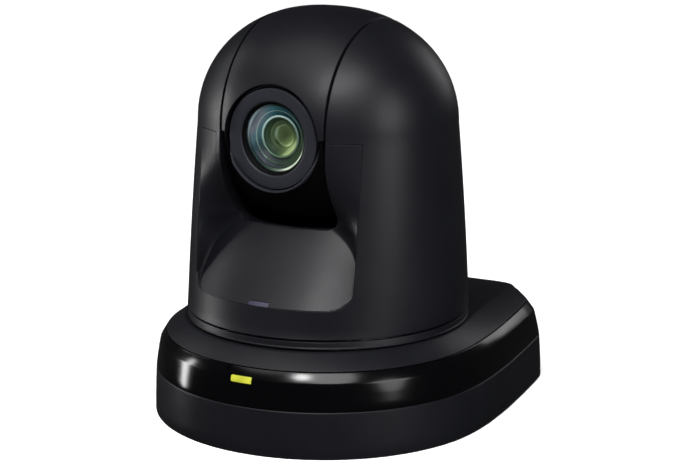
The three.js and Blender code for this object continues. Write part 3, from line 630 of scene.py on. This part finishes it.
SHELL = plastic("shell_texture", (0.0030, 0.0031, 0.0045), rough=0.41, texture=0.42, grain=1700.0, spec=0.14)
DARK = plastic("dark_plastic_texture", (0.0065, 0.0066, 0.0075), rough=0.55, texture=0.25, spec=0.3)
BLACK = plastic("drum_black_texture", (0.0007, 0.0007, 0.0009), rough=0.6, texture=0.2, spec=0.03)
BEZEL = plastic("bezel_satin", (0.0088, 0.0092, 0.0124), rough=0.45, texture=0.18, grain=3800.0, spec=0.12)
GLOSS = gloss("gloss_black_polish", (0.0007, 0.0007, 0.0009))
STEEL = metal("nickel_steel", (0.62, 0.62, 0.63), 0.32)
ALUMINIUM = metal("brushed_aluminium", (0.56, 0.57, 0.59), 0.38, (1, 14, 1), 260.0)
BRASS = metal("turned_brass", (0.66, 0.50, 0.22), 0.3)
RUBBER = plastic("belt_rubber_cord", (0.010, 0.010, 0.010), rough=0.72, texture=0.6, grain=1400.0, spec=0.2)
BOARD = plastic("board_solder_mask", (0.008, 0.060, 0.022), rough=0.38, texture=0.12, grain=900.0, spec=0.4)


def paint(ob, material):
    ob.data.materials.clear()
    ob.data.materials.append(material)
    return ob


def piece(ob, body, material, slot, *nodes):
    paint(ob, material)
    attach(ob, body)
    if nodes:
        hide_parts(*nodes)
    return ob


# ================================================================== base
def back_cut():
    return cuboid("cut", -46, 46, 88, 110, 5.5, 37.5)


e = mix(LOW, TOP, 0.13, Z_SKIRT - 0.12)
rings = [inset(LOW, 3.0, 0), inset(LOW, 0.5, 0.0), inset(LOW, 0.15, 0.2), mix(LOW, TOP, 0, 0.7), mix(LOW, TOP, 0.02, 6),
         mix(LOW, TOP, 0.07, 14), inset(e, -0.0, Z_SKIRT - 0.45), inset(e, 0.3, Z_SKIRT - 0.12), inset(e, 2.3, Z_SKIRT - 0.12), inset(LOW, 2.6, 3)]
skirt = boolean(loft("skirt", rings, loop=True), "DIFFERENCE", back_cut())
shade(skirt)
piece(skirt, "base", SHELL, "shell_plastic", "lower_housing")

a = mix(LOW, TOP, 0.14, Z_SKIRT + 0.12)
band = [a, mix(LOW, TOP, 0.23, 25), mix(LOW, TOP, 0.35, 29), mix(LOW, TOP, 0.5, Z_BAND), mix(LOW, TOP, 1, lambda x, y: z_edge(x, y) - 0.12),
        inset(mix(LOW, TOP, 1, 0), 1.6, lambda x, y: z_edge(x, y) - 1.5), inset(mix(LOW, TOP, 0.5, 0), 2.4, Z_BAND - 3), inset(a, 2.4, Z_SKIRT + 0.12)]
trim = loft("gloss_band", soften(band, 0.55, 3), loop=True)
lamp_cut = prism("lamp_cut", round_rect(-2.35, 8.15, 31.15, 34.45, 0.7), -90, -60, "y")
sensor_cut = prism("sensor_cut", circle(0.9, -4.6, -76.5), 30, 40)
boolean(trim, "DIFFERENCE", back_cut(), lamp_cut, sensor_cut)
shade(trim, 40)
piece(trim, "base", GLOSS, "gloss_black", "gloss_trim")

top = mix(TOP, RAISED, 0.012, z_edge)
ring_at = lambda r, z: [(x * r / math.hypot(x, y), y * r / math.hypot(x, y), z(x, y) if callable(z) else z) for x, y in RAISED]
deck_rings = [top, mix(TOP, RAISED, 1.0, z_raised), ring_at(58, 42.6), ring_at(34, 42.6), ring_at(34, 40.3),
              inset(RAISED, 1.5, lambda x, y: z_raised(x, y) - 2.4), inset(top, 2.2, lambda x, y: z_edge(x, y) - 1.0), inset(top, 0.4, lambda x, y: z_edge(x, y) - 0.2)]
deck = loft("deck", soften(deck_rings, 1.0, 3), loop=True, sharp=40)
piece(deck, "base", SHELL, "shell_plastic", "top_deck")

ring = lathe("collar", rounded([(61.6, Z_DECK + 0.2), (65.2, Z_DECK + 0.2), (65.2, Z_DECK + 0.9), (64.85, Z_DECK + 1.1), (64.65, Z_RING), (61.6, Z_RING)], 0.25), "z", 180)
piece(ring, "base", SHELL, "shell_plastic", "collar_ring")

# status lamp: a frosted light guide that follows the edge of the band
lamp_rings = [mix(LOW, TOP, 0.43, 31.35), mix(LOW, TOP, 0.5, Z_BAND - 0.1), mix(LOW, TOP, 0.58, 34.2),
              inset(mix(LOW, TOP, 0.58, 0), 2.0, 34.2), inset(mix(LOW, TOP, 0.43, 0), 2.0, 31.35)]
lamp = loft("lamp", soften(lamp_rings, 0.4, 3), loop=True)
boolean(lamp, "INTERSECT", prism("lamp_box", round_rect(-2.2, 8.0, 31.3, 34.3, 0.6), -90, -60, "y"))
shade(lamp, 40)
m = Mat("lamp_guide")
g = m.noise(260.0, 2.0)
col = m.ramp(g.outputs["Fac"], [(0.3, (0.21, 0.215, 0.012, 1)), (0.7, (0.29, 0.295, 0.022, 1))])
m.to("Base Color", col.outputs["Color"])
m.to("Emission Color", col.outputs["Color"])
m.b.inputs["Emission Strength"].default_value = 0.125
m.b.inputs["Roughness"].default_value = 0.28
LAMP = m.m
piece(lamp, "base", LAMP, "lamp_diffuser", "status_lamp")

# ================================================================== head covers
outer = head_body("outer", 0.0, Z_RIM, rim=0.6)
boolean(outer, "DIFFERENCE", recess_cutter("rc", 0.0))
inner = head_body("inner", WALL, Z_RIM - 2, 96, 10, 12)
boolean(inner, "DIFFERENCE", recess_cutter("rci", WALL, False))
room = drum_room("room", 0, SLOT_W)
tub = drum_room("tub", 2.0, SLOT_W + 2, 10, 64)
boolean(inner, "DIFFERENCE", tub, cuboid("mid", -SLOT_W - 2, SLOT_W + 2, -80, 80, Z_TILT - 20, 200))
covers = outer
boolean(covers, "DIFFERENCE", inner, room,
        prism("slot", round_rect(-SLOT_W, SLOT_W, SLOT_Z, 230, 7, 12), -90, -20, "y"),
        cuboid("over", -SLOT_W, SLOT_W, -60, 49, Z_TILT + 2, 200),
        prism("bore", circle(11.5, 0, Z_TILT), -SLOT_W - 3, SLOT_W + 3, "x"))


def panel_outline(grow):
    x, z0, zt, r = PANEL_X + grow, PANEL_Z - grow, Z_TILT - 1.0 + grow * 2, 9 + grow
    out = [(x, zt), (-x, zt)]
    for i in range(13):
        t = math.pi + math.pi / 2 * i / 12
        out.append((-x + r + r * math.cos(t), z0 + r + r * math.sin(t)))
    for i in range(13):
        t = -math.pi / 2 + math.pi / 2 * i / 12
        out.append((x - r + r * math.cos(t), z0 + r + r * math.sin(t)))
    return out


HAIR = 0.10
win = copy(covers, "window")
boolean(win, "INTERSECT", prism("winbox", round_rect(-3.7, 6.5, PANEL_Z + 0.2, PANEL_Z + 1.8, 0.35), -69, -53, "y"))
shade(win)
keep = prism("keep", panel_outline(-HAIR / 2), -90, -12, "y")
boolean(keep, "DIFFERENCE", drum_room("t2", 2.4, SLOT_W + 2.4, 16, 96), cuboid("deep", -90, 90, -34, 0, 50, 200))
front = copy(covers, "recess_panel")
boolean(front, "INTERSECT", keep)
boolean(front, "DIFFERENCE", prism("win", round_rect(-3.8, 6.6, PANEL_Z + 0.1, PANEL_Z + 1.9, 0.4), -70, -52, "y"))
islands(front)
shade(front)
seat = prism("seat", panel_outline(HAIR / 2), -90, -12, "y")
boolean(seat, "DIFFERENCE", drum_room("t3", 2.385, SLOT_W + 2.385, 16, 96), cuboid("deep2", -90, 90, -34 + 0.35, 0, 50, 200))
boolean(covers, "DIFFERENCE", seat)
rear = copy(covers, "rear_shell")
boolean(rear, "INTERSECT", cuboid("rb", -90, 90, SPLIT_Y + 0.15, 90, 40, 200))
for x in (-20, 20):
    boolean(rear, "DIFFERENCE", prism("scr", circle(2.0, x, 56.5, 24), 40, 90, "y"))
islands(rear)
shade(rear)
main = covers
main.name = "main_shell"
boolean(main, "DIFFERENCE", cuboid("mb", -90, 90, SPLIT_Y - 0.15, 90, 40, 200))
islands(main)
shade(main)
piece(front, "pan_head", SHELL, "shell_plastic", "front_panel")
piece(main, "pan_head", SHELL, "shell_plastic", "head_cover")
piece(rear, "pan_head", SHELL, "shell_plastic", "rear_cover")

WINDOW = gloss("window_tint_gloss", (0.020, 0.019, 0.034))
piece(win, "pan_head", WINDOW, "window_tint", "sensor_window")

# ================================================================== tilting drum
def drum(name, off, half, segments=168, steps=20):
    pts = [(0.0, -half)]
    edge = 0.5
    for i in range(steps + 1):
        x = -half + 2 * half * i / steps
        r = rho(x) - off
        if i in (0, steps) and off == 0:
            pts += [(r - edge, x), (r - 0.12, x + math.copysign(0.12, -x)), (r, x + math.copysign(edge, -x))] if i == 0 else \
                   [(r, x + math.copysign(edge, -x)), (r - 0.12, x + math.copysign(0.12, -x)), (r - edge, x)]
        else:
            pts.append((r, x))
    pts.append((0.0, half))
    return lathe(name, pts, "x", segments, (0, 0, Z_TILT))


def lens_hole():
    return prism("lh", circle(R_COLLAR + 0.3, 0, Z_LENS, 128), -60, -30, "y")


def bore_cut():
    return prism("bc", circle(8.6, 0, Z_TILT, 40), -30, 30, "x")


upper = drum("upper_cover", 0.0, DRUM_W)
boolean(upper, "DIFFERENCE", drum("di", 2.2, DRUM_W - 2, 96, 8), lens_hole(), bore_cut())
boolean(upper, "INTERSECT", cuboid("ub", -60, 60, -60, 60, Z_TILT + 0.15, 200))
islands(upper)
shade(upper)
piece(upper, "tilt_unit", SHELL, "shell_plastic", "tilt_upper_cover")
# The lower drum cover takes the near-black, almost glossless material, darker than the shell of the upper cover.
lower = drum("lower_cover", 1.2, DRUM_W - 0.3)
boolean(lower, "DIFFERENCE", drum("di2", 3.4, DRUM_W - 2, 96, 8), lens_hole(), bore_cut())
boolean(lower, "INTERSECT", cuboid("lb", -60, 60, -60, 60, 60, Z_TILT - 0.15))
islands(lower)
shade(lower)
piece(lower, "tilt_unit", BLACK, "dark_plastic", "tilt_lower_cover")

T = (0, 0, Z_LENS)
collar = lathe("lens_hood_ring", rounded([(22.6, -41), (R_COLLAR, -41), (R_COLLAR, COLLAR_Y), (22.75, COLLAR_Y)], 0.3), "y", 160, T)
boolean(collar, "DIFFERENCE", prism("above", [(-60, Z_LENS - 15), (-49.2, Z_LENS - 15), (-44.6, Z_LENS - 2), (-44.6, 180), (-60, 180)], -30, 30, "x"))
shade(collar)
piece(collar, "tilt_unit", BEZEL, "shell_plastic", "lens_collar")
bezel = lathe("lens_face_ring", rounded([(16.3, -43), (16.3, LENS_Y + 0.5), (16.9, LENS_Y), (R_BEZEL, LENS_Y), (R_BEZEL, -43)], 0.25), "y", 160, T)
piece(bezel, "tilt_unit", BEZEL, "bezel_grey", "lens_bezel")
barrel = lathe("lens_tube", rounded([(14.9, -20), (17.3, -20), (17.3, -42.7), (16.2, -42.7), (16.2, LENS_Y + 0.9), (14.95, LENS_Y + 1.9), (14.9, -40.0)], 0.12), "y", 120, T)
piece(barrel, "tilt_unit", BLACK, "dark_plastic", "lens_barrel")


def lens_coords(m):
    """Distances from the lens axis: radius, and the offsets across and up, in metres."""
    sep = m.node("ShaderNodeSeparateXYZ")
    m.link(m.coord.outputs["Object"], sep.inputs[0])
    up = m.node("ShaderNodeMath", operation="SUBTRACT")
    m.link(sep.outputs["Z"], up.inputs[0])
    up.inputs[1].default_value = Z_LENS * MM
    comb = m.node("ShaderNodeCombineXYZ")
    m.link(sep.outputs["X"], comb.inputs["X"])
    m.link(up.outputs[0], comb.inputs["Z"])
    length = m.node("ShaderNodeVectorMath", operation="LENGTH")
    m.link(comb.outputs[0], length.inputs[0])
    return sep.outputs["X"], up.outputs[0], length.outputs["Value"], comb.outputs[0]


def along(m, vec, dx, dz, lo, hi):
    """0 to 1 across the lens in the direction (dx, dz), from lo to hi in mm."""
    dot = m.node("ShaderNodeVectorMath", operation="DOT_PRODUCT")
    m.link(vec, dot.inputs[0])
    dot.inputs[1].default_value = (dx, 0, dz)
    mr = m.node("ShaderNodeMapRange")
    mr.inputs["From Min"].default_value = lo * MM
    mr.inputs["From Max"].default_value = hi * MM
    m.link(dot.outputs["Value"], mr.inputs["Value"])
    return mr.outputs[0]


def radius_ramp(m, r, reach, stops):
    mr = m.node("ShaderNodeMapRange")
    mr.inputs["From Max"].default_value = reach * MM
    m.link(r, mr.inputs["Value"])
    return m.ramp(mr.outputs[0], stops)


def mixed(m, a, b, fac, blend="MIX"):
    mx = m.node("ShaderNodeMix", data_type="RGBA", blend_type=blend)
    if isinstance(fac, float):
        mx.inputs["Factor"].default_value = fac
    else:
        m.link(fac, mx.inputs["Factor"])
    m.link(a, mx.inputs[6])
    m.link(b, mx.inputs[7])
    return mx.outputs[2]


def clear_glass(name, tint, reflect=1.0):
    """Coated glass: what lies behind shows through, and lights show on it as a tinted reflection."""
    m = Mat(name)
    m.t.nodes.remove(m.b)
    out = next(n for n in m.t.nodes if n.type == "OUTPUT_MATERIAL")
    n = m.noise(40.0, 2.0)
    tc = m.ramp(n.outputs["Fac"], [(0.3, tuple(tint) + (1,)), (0.7, tuple(min(1, c * 1.06) for c in tint) + (1,))])
    glossy = m.node("ShaderNodeBsdfGlossy")
    m.link(tc.outputs["Color"], glossy.inputs["Color"])
    glossy.inputs["Roughness"].default_value = 0.04
    clear = m.node("ShaderNodeBsdfTransparent")
    clear.inputs["Color"].default_value = (0.94, 0.97, 0.96, 1)
    fres = m.node("ShaderNodeFresnel")
    fres.inputs["IOR"].default_value = 1.10
    mx = m.node("ShaderNodeMixShader")
    m.link(fres.outputs[0], mx.inputs[0])
    m.link(clear.outputs[0], mx.inputs[1])
    m.link(glossy.outputs[0], mx.inputs[2])
    m.link(mx.outputs[0], out.inputs["Surface"])
    return m.m


# Lens parts whose colour is painted light: reflections, highlights and glow laid on in lens coordinates. The emission
# strength makes them glow though they are no lamp, a painted glow.
def painted(name, build, rough=0.4, painted_glow=0.0, metallic=0.0):
    m = Mat(name)
    x, up, r, vec = lens_coords(m)
    col = build(m, r, vec)
    m.to("Base Color", col)
    if painted_glow:
        m.to("Emission Color", col)
        m.b.inputs["Emission Strength"].default_value = painted_glow
    n = m.noise(300.0, 2.0)
    rr = m.ramp(n.outputs["Fac"], [(0.3, grey(rough)), (0.7, grey(rough + 0.06))])
    m.to("Roughness", rr.outputs["Color"])
    m.b.inputs["Metallic"].default_value = metallic
    m.b.inputs["Specular IOR Level"].default_value = 0.12
    return m.m


# Painted reflections on the cone of the front lens cell: a purple and teal band at the upper left, a teal band at the
# top, a purplish glow at the lower left and an olive tint at the lower right, all standing in for reflected light.
def cone_painted_reflections(m, r, vec):
    side = m.ramp(along(m, vec, 0.84, -0.54, -14.5, 13), [(0.0, (0.016, 0.024, 0.030, 1)), (0.08, (0.085, 0.080, 0.100, 1)), (0.16, (0.030, 0.060, 0.075, 1)),
                                                          (0.28, (0.004, 0.018, 0.022, 1)), (0.40, (0.002, 0.006, 0.007, 1)), (0.75, (0.004, 0.008, 0.006, 1)), (1.0, (0.024, 0.032, 0.018, 1))])
    low = m.ramp(along(m, vec, -0.50, -0.86, 4, 14), [(0.0, (0.0, 0.0, 0.0, 1)), (0.6, (0.006, 0.005, 0.009, 1)), (1.0, (0.022, 0.018, 0.028, 1))])
    top = m.ramp(along(m, vec, 0.15, 0.98, 5, 13.5), [(0.0, (0, 0, 0, 1)), (0.5, (0.001, 0.012, 0.017, 1)), (1.0, (0.002, 0.026, 0.034, 1))])
    return mixed(m, mixed(m, side.outputs["Color"], low.outputs["Color"], 1.0, "ADD"), top.outputs["Color"], 1.0, "ADD")


# The second lens cell: a dark green tint with painted ring highlights, and a painted yellow-green glow towards the
# lower right.
def inner_tint_and_painted_glow(m, r, vec):
    rings = radius_ramp(m, r, 9.0, [(0.0, (0.014, 0.020, 0.007, 1)), (0.58, (0.022, 0.030, 0.012, 1)), (0.70, (0.045, 0.058, 0.028, 1)), (0.76, (0.014, 0.020, 0.010, 1)),
                                    (0.92, (0.022, 0.034, 0.020, 1)), (1.0, (0.014, 0.026, 0.022, 1))])
    painted_glow = m.ramp(along(m, vec, 0.72, -0.70, 3.0, 8.5), [(0.0, (0, 0, 0, 1)), (0.4, (0.035, 0.042, 0.012, 1)), (0.8, (0.30, 0.30, 0.15, 1)), (1.0, (0.12, 0.13, 0.06, 1))])
    return mixed(m, rings.outputs["Color"], painted_glow.outputs["Color"], 1.0, "ADD")


# The focus lens: a green tint with a painted bright ring highlight near its edge, a painted yellow-green glow towards
# the lower right and a painted highlight spot at the left.
def last_tint_and_painted_glow(m, r, vec):
    rings = radius_ramp(m, r, 6.0, [(0.0, (0.026, 0.032, 0.012, 1)), (0.55, (0.040, 0.050, 0.020, 1)), (0.72, (0.055, 0.066, 0.032, 1)), (0.78, (0.13, 0.15, 0.09, 1)), (0.84, (0.024, 0.030, 0.014, 1)), (1.0, (0.018, 0.024, 0.012, 1))])
    painted_glow = m.ramp(along(m, vec, 0.60, -0.80, 1.0, 5.2), [(0.0, (0, 0, 0, 1)), (0.6, (0.060, 0.066, 0.026, 1)), (1.0, (0.34, 0.33, 0.18, 1))])
    spot = m.ramp(along(m, vec, -0.97, 0.25, 3.4, 4.9), [(0.0, (0, 0, 0, 1)), (0.8, (0.05, 0.06, 0.04, 1)), (1.0, (0.10, 0.12, 0.09, 1))])
    return mixed(m, mixed(m, rings.outputs["Color"], painted_glow.outputs["Color"], 1.0, "ADD"), spot.outputs["Color"], 1.0, "ADD")


# Painted highlight on the edge of the front glass: a bright crescent along the lower right and a faint grey one at the
# upper left, standing in for reflected light.
def crescent_painted_highlight(m, r, vec):
    low = m.ramp(along(m, vec, 0.66, -0.75, 4, 14.6), [(0.0, (0.010, 0.016, 0.016, 1)), (0.45, (0.03, 0.045, 0.035, 1)), (0.72, (0.12, 0.14, 0.11, 1)), (0.92, (0.46, 0.48, 0.40, 1)), (1.0, (0.26, 0.28, 0.22, 1))])
    left = m.ramp(along(m, vec, -0.86, 0.50, 8, 14.6), [(0.0, (0, 0, 0, 1)), (0.6, (0.035, 0.042, 0.050, 1)), (1.0, (0.13, 0.14, 0.16, 1))])
    return mixed(m, low.outputs["Color"], left.outputs["Color"], 1.0, "ADD")


# Painted highlight on the thin lens rings: dark at the bottom and pale towards the top left, standing in for light from
# above.
def ring_painted_highlight(m, r, vec):
    return m.ramp(along(m, vec, -0.35, 0.94, -9, 9), [(0.0, (0.040, 0.060, 0.036, 1)), (0.45, (0.07, 0.10, 0.085, 1)), (0.75, (0.13, 0.18, 0.17, 1)), (1.0, (0.20, 0.25, 0.25, 1))]).outputs["Color"]


GLASS = clear_glass("coated_glass", (0.80, 0.95, 0.92))
glass_front = lathe("front_glass", rounded([(0, -45.4), (8, -45.0), (14.0, -44.2), (14.75, -44.2), (14.75, -44.9), (14.3, -45.2), (11.5, -45.8), (8, -46.25), (4, -46.55), (0, -46.65)], 0.15), "y", 128, T)
piece(glass_front, "tilt_unit", GLASS, "lens_glass", "front_element")
rim_bevel = lathe("front_glass_edge", rounded([(13.85, -43.2), (14.8, -43.2), (14.8, -44.1), (13.85, -43.75)], 0.1), "y", 128, T)
piece(rim_bevel, "tilt_unit", painted("glass_edge", crescent_painted_highlight, 0.4, 0.6), "lens_glass", "front_element")
cone = lathe("front_lens_cell", rounded([(13.4, -43.1), (14.8, -43.1), (14.8, -39.3), (8.9, -39.3), (8.9, -39.95), (10.2, -40.3), (12.2, -41.9), (12.8, -42.6)], 0.12), "y", 128, T)
piece(cone, "tilt_unit", painted("cell_painted_reflection", cone_painted_reflections, 0.45, 0.45), "lens_glass", "front_element")
thin = lathe("cell_step_ring", rounded([(11.55, -41.2), (11.85, -41.4), (11.85, -41.95), (11.55, -41.7)], 0.06), "y", 128, T)
piece(thin, "tilt_unit", painted("step_ring", ring_painted_highlight, 0.2, 0.15), "lens_glass", "front_element")
second_rim = lathe("second_lens_ring", rounded([(8.7, -40.35), (9.5, -40.45), (9.5, -40.95), (9.0, -41.1), (8.7, -40.9)], 0.12), "y", 128, T)
piece(second_rim, "tilt_unit", painted("second_ring", ring_painted_highlight, 0.3, 0.7), "lens_glass", "front_element")
second = lathe("second_lens", rounded([(0, -40.5), (8.5, -39.9), (8.5, -40.6), (5, -41.2), (0, -41.5)], 0.1), "y", 96, T)
piece(second, "tilt_unit", GLASS, "lens_glass", "front_element")
deep = lathe("second_lens_cell", rounded([(8.5, -39.8), (8.85, -39.8), (8.85, -37.45), (5.2, -37.45), (5.2, -37.65), (6.6, -38.1), (7.8, -38.9)], 0.06), "y", 96, T)
piece(deep, "tilt_unit", painted("second_cell", inner_tint_and_painted_glow, 0.45, 0.5), "lens_glass", "front_element")
carrier = lathe("focus_lens_cell", rounded([(10.2, -37.0), (13.6, -37.0), (13.6, -33.0), (10.2, -33.0)], 0.15), "y", 96, T)
piece(carrier, "focus_carriage", DARK, "dark_plastic", "focus_group")
floating = lathe("focus_lens", rounded([(0, -33.6), (10.3, -34.4), (10.3, -36.0), (5, -36.15), (0, -36.2)], 0.1), "y", 96, T)
piece(floating, "focus_carriage", painted("focus_tint_painted_glow", last_tint_and_painted_glow, 0.35, 0.5), "dark_plastic", "focus_group")

# ------------------------------------------------------------------ remaining CAD nodes keep their shape
LOOK = {"steel": STEEL, "aluminium": ALUMINIUM, "brass": BRASS, "dark_plastic": DARK, "shell_plastic": SHELL, "bezel_grey": BEZEL, "gloss_black": GLOSS,
        "belt_rubber": RUBBER, "circuit_board": BOARD, "lens_glass": GLASS}
slots = {s["node"]: s["material_slot"] for s in frame["record"]["subparts"]}
shown = {"lower_housing", "gloss_trim", "top_deck", "collar_ring", "status_lamp", "front_panel", "head_cover", "rear_cover", "sensor_window",
         "tilt_upper_cover", "tilt_lower_cover", "lens_collar", "lens_bezel", "lens_barrel", "front_element", "focus_group"}
for name, ob in frame["nodes"].items():
    if name in shown:
        continue
    mat = LOOK.get(slots.get(name), DARK)
    for s in ob.material_slots:
        s.material = mat

# ------------------------------------------------------------------ floor
floor = mesh_object("floor", [(-4000, -4000, -0.05), (4000, -4000, -0.05), (4000, 4000, -0.05), (-4000, 4000, -0.05)], [(0, 1, 2, 3)])
m = Mat("pale_floor")
n = m.noise(3.0, 2.0)
col = m.ramp(n.outputs["Fac"], [(0.3, grey(0.92)), (0.7, grey(0.95))])
m.to("Base Color", col.outputs["Color"])
m.b.inputs["Roughness"].default_value = 0.6
paint(floor, m.m)
floor.visible_glossy = False  # the studio floor stays out of the black plastic
